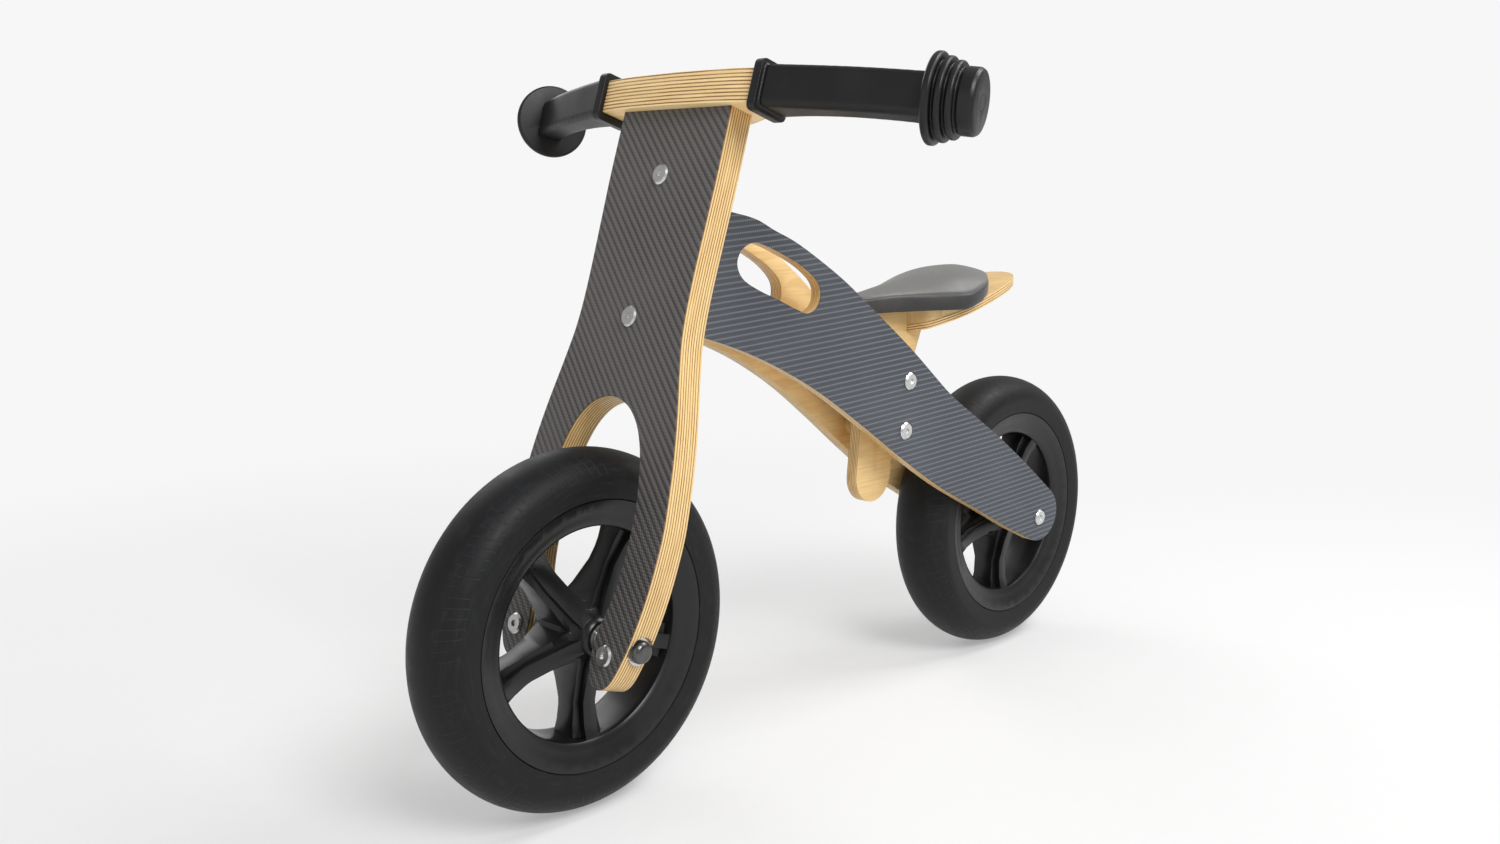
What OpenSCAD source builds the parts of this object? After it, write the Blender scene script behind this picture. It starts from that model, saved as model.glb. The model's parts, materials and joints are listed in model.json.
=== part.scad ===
// Child's balance bike: plywood side panels, plywood fork plate, two small wheels.
// X is forward, Y is the rider's left, Z is up, the origin is on the ground at mid wheelbase.

/* [Wheels] */
// Distance between the two axles
wheelbase = 575; // [575:0.5:580]
// Outer radius of both tyres
tyre_r = 145; // [144:0.5:145]
// Half width of the tyres
tyre_half_w = 31.6; // [28:0.1:32]
// Outer radius of the rim flanges
rim_r = 108.5; // [106:0.5:110]
// Number of spokes in each wheel
spoke_count = 5; // [4:1:6]

/* [Fork] */
// Lean of the fork plate from vertical, in degrees
fork_tilt = 17.5; // [17.5:0.5:18]
// Thickness of the fork plate
fork_t = 24; // [24:0.5:25]
// Height of the fork plate, measured along its slope
fork_top = 577; // [577:1:580]
// Distance from the back of the fork plate to the steering pin
pin_setback = 18; // [18:0.5:19]

/* [Handlebar] */
// Thickness of the plywood handlebar
bar_t = 27; // [25:0.5:28]
// Half length of the handlebar without its end bumpers
bar_half = 222; // [220:1:225]

/* [Frame] */
// Thickness of each side panel with its laminate
panel_t = 12.2; // [12:0.1:12.5]
// Angle at which each side panel opens towards the rear, in degrees
panel_splay = 5.5; // [5.3:0.1:5.6]
// Distance of the panel's outer face from the middle plane, halfway along the bike
panel_mid_y = 33.3; // [33:0.1:34]
// Thickness of the carbon laminate on the outer faces
skin_t = 0.8; // [0.6:0.1:1]

/* [Seat] */
// Thickness of the seat post plate
post_t = 12; // [11:0.5:12]
// How far the seat post can drop from its highest place
post_drop = 30; // [20:1:30]
// Thickness of the bent seat shell
shell_t = 8.8; // [8:0.1:9]
// Height of the pad above its base at the tail
pad_h = 22; // [18:1:24]

/* [Fasteners] */
// Radius of the axles, pivot and clamp bolts
bolt_r = 4; // [4:0.5:4]
// Radius of the flat bolt heads
head_r = 8.5; // [8:0.1:8.5]
// Height of the flat bolt heads
head_h = 2.6; // [2:0.1:3]

/* [Hidden] */
$fn = 48;

carbon = [0.24, 0.25, 0.26];
birch = [0.87, 0.76, 0.56];
black_rubber = [0.10, 0.10, 0.10];
black_plastic = [0.14, 0.14, 0.15];
bright_zinc = [0.82, 0.82, 0.80];

front_x = wheelbase / 2;
rear_x = -wheelbase / 2;
axle_z = tyre_r;

// ---- smooth outlines ----

// Point on a curve that passes through b and c
function between(a, b, c, d, t) =
    0.5 * (2 * b + (c - a) * t + (2 * a - 5 * b + 4 * c - d) * t * t + (3 * b - a - 3 * c + d) * t * t * t);

// Open curve through all points of p, n steps from each point to the next
function curve(p, n = 5) =
    let (last = len(p) - 1)
    [for (i = [0:last - 1], k = [0:n - 1])
        between(p[max(i - 1, 0)], p[i], p[i + 1], p[min(i + 2, last)], k / n),
     p[last]];

// Closed curve through all points of p
function ring(p, n = 5) =
    let (m = len(p))
    [for (i = [0:m - 1], k = [0:n - 1])
        between(p[(i + m - 1) % m], p[i], p[(i + 1) % m], p[(i + 2) % m], k / n)];

function reversed(p) = [for (i = [len(p) - 1:-1:0]) p[i]];
function flipped(p) = [for (q = reversed(p)) [-q[0], q[1]]];
function arc(c, r, a0, a1, n = 10) =
    [for (k = [0:n]) let (a = a0 + (a1 - a0) * k / n) c + r * [cos(a), sin(a)]];

// ---- places ----

// Fork plate space: x across the bike, y up the slope, z out of the front face
plate_foot_x = 348 + (wheelbase - 575) / 2;
module on_fork() {
    translate([plate_foot_x, 0, 0]) rotate([0, -fork_tilt, 0]) rotate([90, 0, 90]) children();
}

// Panel space of the left panel: x along the panel, y up, z inwards from the outer face
module on_left_panel() {
    translate([0, panel_mid_y, 0]) rotate([0, 0, -panel_splay]) rotate([90, 0, 0]) children();
}

// Side view space: x along the bike, y up, extruded over the half width w on both sides
module side_prism(w) {
    rotate([90, 0, 0]) linear_extrude(2 * w, center = true) children();
}

// Turns a shape made along z so that it lies across the bike, at x and z
module across(x, z) {
    translate([x, 0, z]) rotate([-90, 0, 0]) children();
}

function outer_y(x) = panel_mid_y - x * tan(panel_splay);
function inner_y(x) = outer_y(x) - panel_t / cos(panel_splay);

// All the space between the inner faces of the two panels, less gap on each side
module between_panels(gap = 0) {
    x0 = -330;
    x1 = 190;
    linear_extrude(600)
        polygon([[x0, inner_y(x0) - gap], [x1, inner_y(x1) - gap],
                 [x1, gap - inner_y(x1)], [x0, gap - inner_y(x0)]]);
}

// ---- bolts ----

// Flat chamfered head with a hexagon socket, standing on z = 0
module flat_head(r = head_r, h = head_h, socket_r = 3) {
    difference() {
        rotate_extrude() polygon([[0, 0], [r, 0], [r, h * 0.45], [r - h * 0.55, h], [0, h]]);
        translate([0, 0, h * 0.35]) cylinder(r = socket_r, h = h, $fn = 6);
    }
}

// Bolt whose head stands on z = 0 and whose shank goes down to z = -length
module flat_bolt(length, r = bolt_r) {
    flat_head();
    translate([0, 0, -length]) cylinder(r = r, h = length + head_h * 0.3);
}

// ---- side panels ----

tail_c = [-288, 149];
tail_r = 29;
panel_front_w = -fork_t - pin_setback - 16;
function front_line_x(z) = plate_foot_x + panel_front_w / cos(fork_tilt) - z * tan(fork_tilt);
function panel_s(x) = x / cos(panel_splay);

panel_top = [[panel_s(front_line_x(470)), 470], [108, 463], [86, 453], [57, 440], [9, 411], [-29, 383],
             [-86, 339], [-141, 292], [-179, 266], [-219, 239], [-261, 208]];
panel_bottom = [[-240, 140], [-191, 167], [-160, 183.5], [-122, 205], [-72, 238], [-18, 276],
                [32, 309], [80, 335], [124, 354], [panel_s(front_line_x(370)), 370]];
panel_outline = concat(curve(panel_top), arc(tail_c, tail_r, 129, 297, 14), curve(panel_bottom));

hand_slot = ring([[110, 443], [122, 437.5], [127, 426], [121, 413.5], [104, 403.5], [80, 393.5],
                  [60, 384.5], [47, 380.5], [36, 385.5], [32, 397], [37, 408.5], [55, 422],
                  [80, 434], [98, 441]]);

clamp_upper = [-84.5, 309];
clamp_lower = [-79.6, 262];
spot_r = 9;

// Cuts the bolt holes and the flat seats under the bolt heads into the left panel
module panel_bores() {
    for (p = [clamp_upper, clamp_lower, [rear_x, axle_z]]) {
        across(p[0], p[1]) cylinder(r = bolt_r, h = 90);
        seat_y = outer_y(p[0]) - spot_r * tan(panel_splay);
        translate([p[0], seat_y, p[1]]) rotate([-90, 0, 0]) cylinder(r = spot_r, h = 10);
    }
}

module panel_slice(z0, z1) {
    difference() {
        on_left_panel() translate([0, 0, z0]) linear_extrude(z1 - z0) difference() {
            polygon(panel_outline);
            polygon(hand_slot);
        }
        panel_bores();
        dowel_bores();
    }
}

module left_panel() {
    color(birch) panel_slice(skin_t, panel_t);
}

module left_panel_laminate() {
    color(carbon) panel_slice(0, skin_t);
}

module right_panel() {
    color(birch) mirror([0, 1, 0]) panel_slice(skin_t, panel_t);
}

module right_panel_laminate() {
    color(carbon) mirror([0, 1, 0]) panel_slice(0, skin_t);
}

// ---- head block between the panels ----

pin_w = -fork_t - pin_setback;
nose_r = 14;
nose_v0 = 429;
nose_v1 = 500;
bush_r = 7;
bush_l = 12;
flange_r = 10;
flange_t = 1.5;
dowel_r = 4;
dowel_half = 13;
dowels = [[141, 447], [154, 388]];

module dowel_bores() {
    for (p = dowels) across(p[0], p[1]) cylinder(r = dowel_r, h = 2 * dowel_half, center = true);
}

module head_block() {
    color(birch) difference() {
        union() {
            // Round nose that carries the steering bushes, with its shoulder against the panels
            on_fork() translate([0, nose_v0, pin_w]) rotate([-90, 0, 0]) {
                cylinder(r = nose_r, h = nose_v1 - nose_v0);
                translate([-nose_r, 0, 0]) cube([2 * nose_r, pin_w - panel_front_w, nose_v1 - nose_v0]);
            }
            // Tongue glued between the panels
            intersection() {
                between_panels();
                side_prism(30)
                    polygon([[front_line_x(455), 455], [front_line_x(455) - 22, 455],
                             [front_line_x(400) - 24, 400], [96, 389], [88, 345], [124, 358],
                             [front_line_x(374), 374]]);
            }
        }
        on_fork() translate([0, nose_v0, pin_w]) rotate([-90, 0, 0]) {
            translate([0, 0, -1]) cylinder(r = bush_r, h = bush_l + 1);
            translate([0, 0, nose_v1 - nose_v0 - bush_l]) cylinder(r = bush_r, h = bush_l + 1);
            translate([0, 0, -1]) cylinder(r = 5.6, h = 80);
        }
        dowel_bores();
    }
}

module head_dowels() {
    color(birch)
        for (p = dowels) across(p[0], p[1]) cylinder(r = dowel_r, h = 2 * dowel_half - 1, center = true);
}

pin_r = 5;
running_gap = 0.05;

// Flanged plastic bush, flange downwards, its top at z = 0
module steering_bush() {
    difference() {
        union() {
            translate([0, 0, -bush_l]) cylinder(r = bush_r, h = bush_l);
            cylinder(r = flange_r, h = flange_t);
        }
        translate([0, 0, -bush_l - 1]) cylinder(r = pin_r + running_gap, h = bush_l + flange_t + 2);
    }
}

module steering_bushes() {
    color(black_plastic) on_fork() {
        translate([0, nose_v1, pin_w]) rotate([-90, 0, 0]) steering_bush();
        translate([0, nose_v0, pin_w]) rotate([90, 0, 0]) steering_bush();
    }
}

// ---- seat clamp ----

clamp_half = outer_y(clamp_upper[0]) - spot_r * tan(panel_splay);

module seat_clamp_bolts() {
    color(bright_zinc) for (p = [clamp_upper, clamp_lower]) {
        seat_y = outer_y(p[0]) - spot_r * tan(panel_splay);
        translate([p[0], seat_y, p[1]]) rotate([-90, 0, 0]) flat_bolt(2 * seat_y - 4);
    }
}

module seat_clamp_nuts() {
    color(bright_zinc) for (p = [clamp_upper, clamp_lower]) {
        seat_y = outer_y(p[0]) - spot_r * tan(panel_splay);
        translate([p[0], -seat_y, p[1]]) rotate([90, 0, 0]) difference() {
            flat_head();
            translate([0, 0, -1]) cylinder(r = bolt_r, h = 1.2);
        }
    }
}

module seat_clamp_spacers() {
    color(birch) intersection() {
        between_panels();
        for (p = [clamp_upper, clamp_lower], side = [0, 1]) mirror([0, side, 0]) difference() {
            translate([0, post_t / 2 + 0.2, 0]) across(p[0], p[1]) cylinder(r = 10, h = 30);
            across(p[0], p[1]) cylinder(r = bolt_r, h = 60);
        }
    }
}

// ---- rear axle ----

rear_seat_y = outer_y(rear_x) - spot_r * tan(panel_splay);
hub_half = 33;
spacer_r = 8;

module rear_axle() {
    color(bright_zinc) translate([rear_x, rear_seat_y, axle_z]) rotate([-90, 0, 0])
        flat_bolt(2 * rear_seat_y - 4);
}

module rear_axle_nut() {
    color(bright_zinc) translate([rear_x, -rear_seat_y, axle_z]) rotate([90, 0, 0]) difference() {
        flat_head();
        translate([0, 0, -1]) cylinder(r = bolt_r, h = 1.2);
    }
}

module rear_axle_spacers() {
    color(bright_zinc) intersection() {
        between_panels();
        for (side = [0, 1]) mirror([0, side, 0]) difference() {
            translate([0, hub_half + 0.5, 0]) across(rear_x, axle_z) cylinder(r = spacer_r, h = 30);
            across(rear_x, axle_z) cylinder(r = bolt_r, h = 90);
        }
    }
}

// ---- fork plate ----

fork_edge = [[62.5, fork_top], [63, 517], [61.5, 440], [63, 400], [68.5, 370], [78, 330], [84, 298],
             [88, 266], [89.5, 240], [87, 202], [81.5, 170], [74, 144], [66, 127], [55, 121], [45, 127],
             [41, 141], [41.5, 160], [46, 176], [51, 192], [54.4, 215], [54.8, 256], [51, 282],
             [45, 304], [35, 323], [20, 336.5]];
fork_outline = curve(concat(fork_edge, [[0, 342]], flipped(fork_edge)), 4);
lug_bolt_v = [522.7, 406.5];
leg_bolt = [56.2, 147.2];
axle_v = 156.4;
axle_w = -14.0;
leg_spot_u = 76;
leg_bolt_l = 20;

module fork_bores() {
    for (v = lug_bolt_v) translate([0, v, -fork_t - 1]) cylinder(r = bolt_r, h = fork_t + 2);
    for (side = [-1, 1]) {
        translate([side * leg_bolt[0], leg_bolt[1], -leg_bolt_l]) cylinder(r = 3, h = leg_bolt_l + 1);
        translate([side * 30, fork_top - 42, -12]) rotate([-90, 0, 0]) cylinder(r = 2.5, h = 43);
    }
}

// Axle hole and the flat seats of the axle caps, both across the bike
module fork_axle_bores() {
    across(front_x, axle_z) cylinder(r = bolt_r, h = 200, center = true);
    for (side = [-1, 1]) translate([0, side * (leg_spot_u + 10), 0])
        across(front_x, axle_z) cylinder(r = 11.5, h = 20, center = true);
}

module fork_slice(w0, w1) {
    difference() {
        on_fork() difference() {
            translate([0, 0, w0]) linear_extrude(w1 - w0) polygon(fork_outline);
            fork_bores();
        }
        fork_axle_bores();
    }
}

module fork_plate() {
    color(birch) fork_slice(-fork_t, -skin_t);
}

module fork_laminate() {
    color(carbon) fork_slice(-skin_t, 0);
}

// ---- steering lugs and pin ----

lug_leg_t = 8;
lug_leg_w = 20;
lug_shelf_t = 6.5;
lug_gap = 2;

// Bracket with its leg on the back of the fork plate and its shelf round the pin.
// The shelf lies on y = 0 and the leg goes up to y = leg_l, with its bolt at y = bolt_y.
module steering_lug(leg_l, bolt_y) {
    difference() {
        union() {
            translate([-lug_leg_w, 0, -fork_t - lug_leg_t]) cube([2 * lug_leg_w, leg_l, lug_leg_t]);
            translate([-12, 0, pin_w]) cube([24, lug_shelf_t, pin_setback]);
            translate([0, 0, pin_w]) rotate([-90, 0, 0]) cylinder(r = 12, h = lug_shelf_t);
        }
        translate([0, -1, pin_w]) rotate([-90, 0, 0]) cylinder(r = pin_r, h = lug_shelf_t + 2);
        translate([0, bolt_y, -fork_t - lug_leg_t - 1]) cylinder(r = bolt_r, h = lug_leg_t + 2);
    }
}

upper_shelf_v = nose_v1 + lug_gap;
lower_shelf_v = nose_v0 - lug_gap;

module upper_steering_lug() {
    color(bright_zinc) on_fork() translate([0, upper_shelf_v, 0])
        steering_lug(33, lug_bolt_v[0] - upper_shelf_v);
}

module lower_steering_lug() {
    color(bright_zinc) on_fork() translate([0, lower_shelf_v, 0]) mirror([0, 1, 0])
        steering_lug(34, lower_shelf_v - lug_bolt_v[1]);
}

pin_nut_h = 8;

module steering_pin() {
    color(bright_zinc) on_fork() {
        translate([0, lower_shelf_v - lug_shelf_t - pin_nut_h - 1, pin_w]) rotate([-90, 0, 0])
            cylinder(r = pin_r, h = upper_shelf_v - lower_shelf_v + 2 * lug_shelf_t + pin_nut_h + 2);
        translate([0, upper_shelf_v + lug_shelf_t, pin_w]) rotate([-90, 0, 0]) difference() {
            cylinder(r = 7.5, h = 6);
            translate([0, 0, 2.5]) cylinder(r = 4, h = 6, $fn = 6);
        }
    }
}

module steering_pin_nut() {
    color(bright_zinc) on_fork()
        translate([0, lower_shelf_v - lug_shelf_t - pin_nut_h, pin_w]) rotate([-90, 0, 0]) difference() {
            cylinder(r = 9, h = pin_nut_h, $fn = 6);
            translate([0, 0, -1]) cylinder(r = pin_r, h = pin_nut_h + 2);
        }
}

module lug_bolts() {
    color(bright_zinc) on_fork() for (v = lug_bolt_v) translate([0, v, 0]) flat_bolt(fork_t + lug_leg_t);
}

module leg_bolts() {
    color(bright_zinc) on_fork() for (side = [-1, 1])
        translate([side * leg_bolt[0], leg_bolt[1], 0]) flat_bolt(leg_bolt_l, 3);
}

stop_tip_w = pin_w - 1.4;

module stop_buffers() {
    color(black_rubber) on_fork() for (side = [-1, 1])
        translate([side * 25 - 6, 445, stop_tip_w]) cube([12, 40, -fork_t - stop_tip_w]);
}

// ---- handlebar ----

bar_v0 = fork_top;
bumper_turn = 22;
bumper_at = [bar_half - 3, -43.3];
bar_end_half = 8.9;
function bar_end(reach) = bumper_at + reach * [sin(bumper_turn), cos(bumper_turn)];
bar_front = [[0, 8.4], [36, 7.6], [64, 6.2], [88, 3.4], [104, 0.2], [138, -8], [170, -16.8],
             [200, -26.6], bar_end(bar_end_half)];
bar_back = [bar_end(-bar_end_half), [196, -42.6], [164, -31.6], [130, -25], [104, -23.5], [88, -26],
            [68, -33], [48, -41], [24, -47], [0, -49]];
bar_right_side = concat(curve(bar_front, 4), curve(bar_back, 4));
bar_outline = concat(bar_right_side, flipped(bar_right_side));
bar_screw = [30, 12];

module bar_screw_places() {
    for (side = [-1, 1]) translate([side * bar_screw[0], 0, -bar_screw[1]]) rotate([-90, 0, 0]) children();
}

module bar_solid() {
    translate([0, bar_v0, 0]) rotate([-90, 0, 0]) linear_extrude(bar_t) scale([1, -1]) polygon(bar_outline);
}

module handlebar() {
    color(birch) on_fork() difference() {
        bar_solid();
        translate([0, bar_v0, 0]) bar_screw_places() {
            translate([0, 0, -1]) cylinder(r = 2.5, h = bar_t + 2);
            translate([0, 0, bar_t - 4]) cylinder(r = 5, h = 5);
        }
    }
}

module handlebar_screws() {
    color(bright_zinc) on_fork() translate([0, bar_v0, 0]) bar_screw_places() {
        translate([0, 0, -40]) cylinder(r = 2.5, h = 40 + bar_t - 2);
        translate([0, 0, bar_t - 4]) cylinder(r = 5, h = 3.4);
    }
}

// Grip: a sleeve that follows the bar, with a collar at its inner end
grip_wall = 3.2;
grip_in = 95;
collar_in = 87;
grip_end_half = bar_end_half + grip_wall;
grip_front = [[grip_in, 5.6], [104, 3.4], [138, -4.8], [170, -13.6], [200, -23.4], bar_end(grip_end_half)];
grip_back = [bar_end(-grip_end_half), [196, -45.8], [164, -34.8], [130, -28.2], [104, -26.7], [grip_in, -27.4]];

module grip() {
    difference() {
        translate([0, bar_v0 - grip_wall, 0]) rotate([-90, 0, 0]) {
            linear_extrude(bar_t + 2 * grip_wall) scale([1, -1])
                polygon(concat(curve(grip_front, 4), curve(grip_back, 4)));
            translate([collar_in, -8.5, -3.5]) cube([8.5, 37, bar_t + 2 * grip_wall + 7]);
        }
        bar_solid();
    }
}

module left_grip() {
    color(black_rubber) on_fork() grip();
}

module right_grip() {
    color(black_rubber) on_fork() mirror([1, 0, 0]) grip();
}

// Stepped end bumper, the first step widest, with a pocket for its screw
plug_r = 6;
module bumper() {
    translate([bumper_at[0], bar_v0 + bar_t / 2, bumper_at[1]]) rotate([0, 90 + bumper_turn, 0]) difference() {
        rotate_extrude() polygon([[0, 0], [31.5, 0], [33, 1.5], [33, 5], [31.5, 6.5], [27, 6.5], [27, 8.5],
                                  [29, 8.5], [30.3, 9.8], [30.3, 12.7], [29, 14], [25, 14], [25, 16],
                                  [26.5, 16], [27.8, 17.3], [27.8, 20.2], [26.5, 21.5], [23, 21.5],
                                  [23, 23.5], [24.2, 24.5], [24.2, 33], [22.8, 35.6], [20.5, 36.5],
                                  [plug_r, 36.5], [plug_r, 31], [0, 31]]);
        translate([0, 0, -1]) cylinder(r = 2.5, h = 40);
    }
}

module left_bumper() {
    color(black_rubber) on_fork() bumper();
}

module right_bumper() {
    color(black_rubber) on_fork() mirror([1, 0, 0]) bumper();
}

module bumper_screws() {
    color(bright_zinc) on_fork() for (side = [0, 1]) mirror([side, 0, 0])
        translate([bumper_at[0], bar_v0 + bar_t / 2, bumper_at[1]]) rotate([0, 90 + bumper_turn, 0]) {
            cylinder(r = 2.5, h = 31);
            translate([0, 0, 31]) cylinder(r = 5, h = 3);
        }
}

// Round plug that closes the screw's pocket
module bumper_plugs() {
    color(black_rubber) on_fork() for (side = [0, 1]) mirror([side, 0, 0])
        translate([bumper_at[0], bar_v0 + bar_t / 2, bumper_at[1]]) rotate([0, 90 + bumper_turn, 0])
            translate([0, 0, 34]) cylinder(r = plug_r, h = 2.5);
}

// ---- front axle ----

module front_axle() {
    color(bright_zinc) across(front_x, axle_z)
        cylinder(r = bolt_r, h = 2 * leg_spot_u + 6, center = true);
}

// Domed cap nut on each end of the front axle
module front_axle_caps() {
    color(black_plastic) for (side = [0, 1]) mirror([0, side, 0])
        translate([front_x, leg_spot_u + 1.5, axle_z]) rotate([-90, 0, 0]) difference() {
            rotate_extrude() polygon(concat([[0, 0], [9, 0], [9, 2]], arc([4, 2], 5, 0, 90, 8), [[0, 7]]));
            translate([0, 0, -1]) cylinder(r = bolt_r, h = 2.5);
        }
}

module front_axle_washers() {
    color(bright_zinc) for (side = [0, 1]) mirror([0, side, 0])
        translate([front_x, leg_spot_u, axle_z]) rotate([-90, 0, 0]) difference() {
            cylinder(r = 11, h = 1.5);
            translate([0, 0, -1]) cylinder(r = bolt_r, h = 4);
        }
}

module front_axle_spacers() {
    color(bright_zinc) for (side = [0, 1]) mirror([0, side, 0])
        translate([front_x, hub_half + 0.5, axle_z]) rotate([-90, 0, 0]) difference() {
            union() {
                cylinder(r = spacer_r, h = 40.5 - hub_half - 0.5);
                translate([0, 0, 4]) cylinder(r = 11, h = 1.5);
            }
            translate([0, 0, -1]) cylinder(r = bolt_r, h = 20);
        }
}

// ---- wheels: made along z, then turned across the bike ----

opening_r = 90;
bead_r = 101;
bearing_r = 11;
bearing_w = 7;
hub_r = 20;
crown_r = 121.6;
crown_power = 1.97;

// Tyre tread: points from one shoulder over the crown to the other
function tread(n = 16) =
    [for (k = [-n:n]) let (a = 90 * k / n, y = tyre_half_w * sin(a))
        [crown_r + (tyre_r - crown_r) * pow(1 - pow(abs(sin(a)), crown_power), 1 / crown_power), y]];

module tyre() {
    color(black_rubber) rotate_extrude($fn = 96)
        polygon(concat([[rim_r - 1, -26.8], [rim_r, -29.4]], tread(), [[rim_r, 29.4], [rim_r - 1, 26.8],
                       [bead_r, 24.4], [bead_r, -24.4]]));
}

// One spoke along x: a broad web with a narrow rib on each side,
// deep at the hub, slim halfway and deeper again at the rim
web_half = 14.5;
rib_half = 6;

module spoke_profile(half, hub_d, mid_d, rim_d) {
    rotate([90, 0, 0]) linear_extrude(2 * half, center = true)
        polygon([[hub_r - 8, -hub_d], [32, -mid_d - (hub_d - mid_d) * 0.45], [56, -mid_d], [74, -mid_d - 0.6],
                 [opening_r - 2, -rim_d], [opening_r - 2, rim_d], [74, mid_d + 0.6], [56, mid_d],
                 [32, mid_d + (hub_d - mid_d) * 0.45], [hub_r - 8, hub_d]]);
}

module spoke() {
    intersection() {
        spoke_profile(web_half, 22, 9.5, 13);
        // Seen from the side the web narrows from the hub to the middle and widens at the rim
        linear_extrude(90, center = true)
            polygon([[hub_r - 8, -14], [40, -11], [62, -11], [opening_r - 2, -14.5],
                     [opening_r - 2, 14.5], [62, 11], [40, 11], [hub_r - 8, 14]]);
    }
    spoke_profile(rib_half, 29.5, 16, 20);
}

module rim() {
    color(black_plastic) {
        difference() {
            union() {
                rotate_extrude($fn = 96)
                    polygon([[opening_r - 5, -16], [opening_r - 4, -20.5], [opening_r - 1, -22.8],
                             [opening_r + 3, -23.4], [98, -25.6], [rim_r - 1, -29], [rim_r - 1, -26.8],
                             [bead_r, -24.4], [bead_r, 24.4], [rim_r - 1, 26.8], [rim_r - 1, 29],
                             [98, 25.6], [opening_r + 3, 23.4], [opening_r - 1, 22.8],
                             [opening_r - 4, 20.5], [opening_r - 5, 16]]);
                rotate_extrude($fn = 96)
                    polygon([[0, -hub_half], [13.5, -hub_half], [15.5, -hub_half + 2], [18.5, -24], [25, -13],
                             [25, 13], [18.5, 24], [15.5, hub_half - 2], [13.5, hub_half], [0, hub_half]]);
                for (k = [0:spoke_count - 1]) rotate(k * 360 / spoke_count + 18) spoke();
            }
            for (side = [0, 1]) mirror([0, 0, side]) translate([0, 0, hub_half - bearing_w])
                cylinder(r = bearing_r, h = bearing_w + 1);
            cylinder(r = 7, h = 4 * hub_half, center = true);
        }
    }
}

module bearing_pair() {
    color(bright_zinc) for (side = [0, 1]) mirror([0, 0, side])
        translate([0, 0, hub_half - bearing_w]) difference() {
            cylinder(r = bearing_r, h = bearing_w);
            translate([0, 0, -1]) cylinder(r = bolt_r + running_gap, h = bearing_w + 2);
        }
}

module front_rim() { across(front_x, axle_z) rim(); }
module front_tyre() { across(front_x, axle_z) tyre(); }
module front_bearings() { across(front_x, axle_z) bearing_pair(); }
module rear_rim() { across(rear_x, axle_z) rim(); }
module rear_tyre() { across(rear_x, axle_z) tyre(); }
module rear_bearings() { across(rear_x, axle_z) bearing_pair(); }

// ---- seat ----

post_way = (clamp_upper - clamp_lower) / norm(clamp_upper - clamp_lower);
post_side = [post_way[1], -post_way[0]];
post_foot = clamp_lower - 48 * post_way;
post_r = 25.5;
shell_front_x = -123;
shell_tail_x = -291.5;
shell_front_z = 350.2;
base_t = 6;
nose_x = -26;
pad_tail_x = -241;
seat_step = 10;

// Height of the shell's underside: it climbs from the post and levels off at the tail,
// in straight steps that the pad and its base share
function shell_rise(t) = 0.36 * t - 0.00062 * t * t;
function shell_z(x) = let (k = floor((shell_front_x - x) / seat_step), a = k * seat_step,
                           f = (shell_front_x - x - a) / seat_step)
    shell_front_z + shell_rise(a) * (1 - f) + shell_rise(a + seat_step) * f;
lift_x = shell_front_x - 4 * seat_step;
base_z = shell_z(lift_x) + shell_t;
function pad_under_z(x) = x > lift_x ? base_z : shell_z(x) + shell_t;

base_screw_x = [-75, -110];
base_screw_depth = 13;
shell_screw_x = [-198, -228];
screw_r = 2;

// Screws down through the base into the post, their heads level with its top
module base_screw_solids() {
    for (x = base_screw_x) translate([x, 0, base_z]) {
        translate([0, 0, -base_screw_depth]) cylinder(r = screw_r, h = base_screw_depth + base_t - 1);
        translate([0, 0, base_t - 2.4]) cylinder(r = 4, h = 2.4);
    }
}

// Screws up through the shell into the base, their heads sunk sink deep
module shell_screw_solids(sink = 0) {
    for (x = shell_screw_x) translate([x, 0, shell_z(x)]) {
        translate([0, 0, 3]) cylinder(r = screw_r, h = shell_t + base_t - 5);
        translate([0, 0, 1.6 - sink]) cylinder(r = 4, h = 2.4 + sink);
    }
}

module seat_post() {
    slot_top = 4.3;
    color(birch) difference() {
        side_prism(post_t / 2) polygon(concat(
            arc(post_foot, post_r, 180 + 6, 360 + 6, 20),
            [clamp_upper + 40 * post_way + post_r * post_side, [-62, base_z], [shell_front_x, base_z],
             [shell_front_x, shell_z(shell_front_x)], [-137, shell_z(-137)], [-150, shell_z(-150)],
             [-136, 328], [-118, 305], clamp_lower - post_r * post_side]));
        base_screw_solids();
        // One slot above each clamp bolt lets the post drop
        for (p = [clamp_upper, clamp_lower]) {
            for (d = [0, post_drop]) across(p[0] + d * post_way[0], p[1] + d * post_way[1])
                cylinder(r = slot_top, h = 2 * post_t, center = true);
            side_prism(post_t) polygon([p + slot_top * post_side, p - slot_top * post_side,
                                        p + post_drop * post_way - slot_top * post_side,
                                        p + post_drop * post_way + slot_top * post_side]);
        }
    }
}

function mirrored_y(p) = [for (q = reversed(p)) [q[0], -q[1]]];
shell_half = [[shell_front_x, 6.5], [-127, 13], [-132, 22], [-138, 28], [-152, 36], [-163, 40.5],
              [-175, 44], [-189, 45.5], [-210, 45], [-233, 42], [-256, 36], [-275, 26.5], [-287, 14],
              [shell_tail_x, 0]];
pad_half = [[nose_x, 0], [-29, 8.5], [-42, 14], [-64, 16], [-95, 25], [-120, 35.5], [-139, 45],
            [-155, 51], [-171, 53.5], [-187, 51.5], [-200, 46.5], [-212, 38.5], [-222, 29],
            [-231, 19.5], [-238, 9.5], [pad_tail_x, 0]];
// Crown line of the pad from nose to tail
pad_crown = [[nose_x, 391], [-48, 394.5], [-103, 400.5], [-134, 404.5], [-170, 409.5], [-203, 413.7],
             [-224, 413], [-235, 410.5], [pad_tail_x, 407]];

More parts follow.
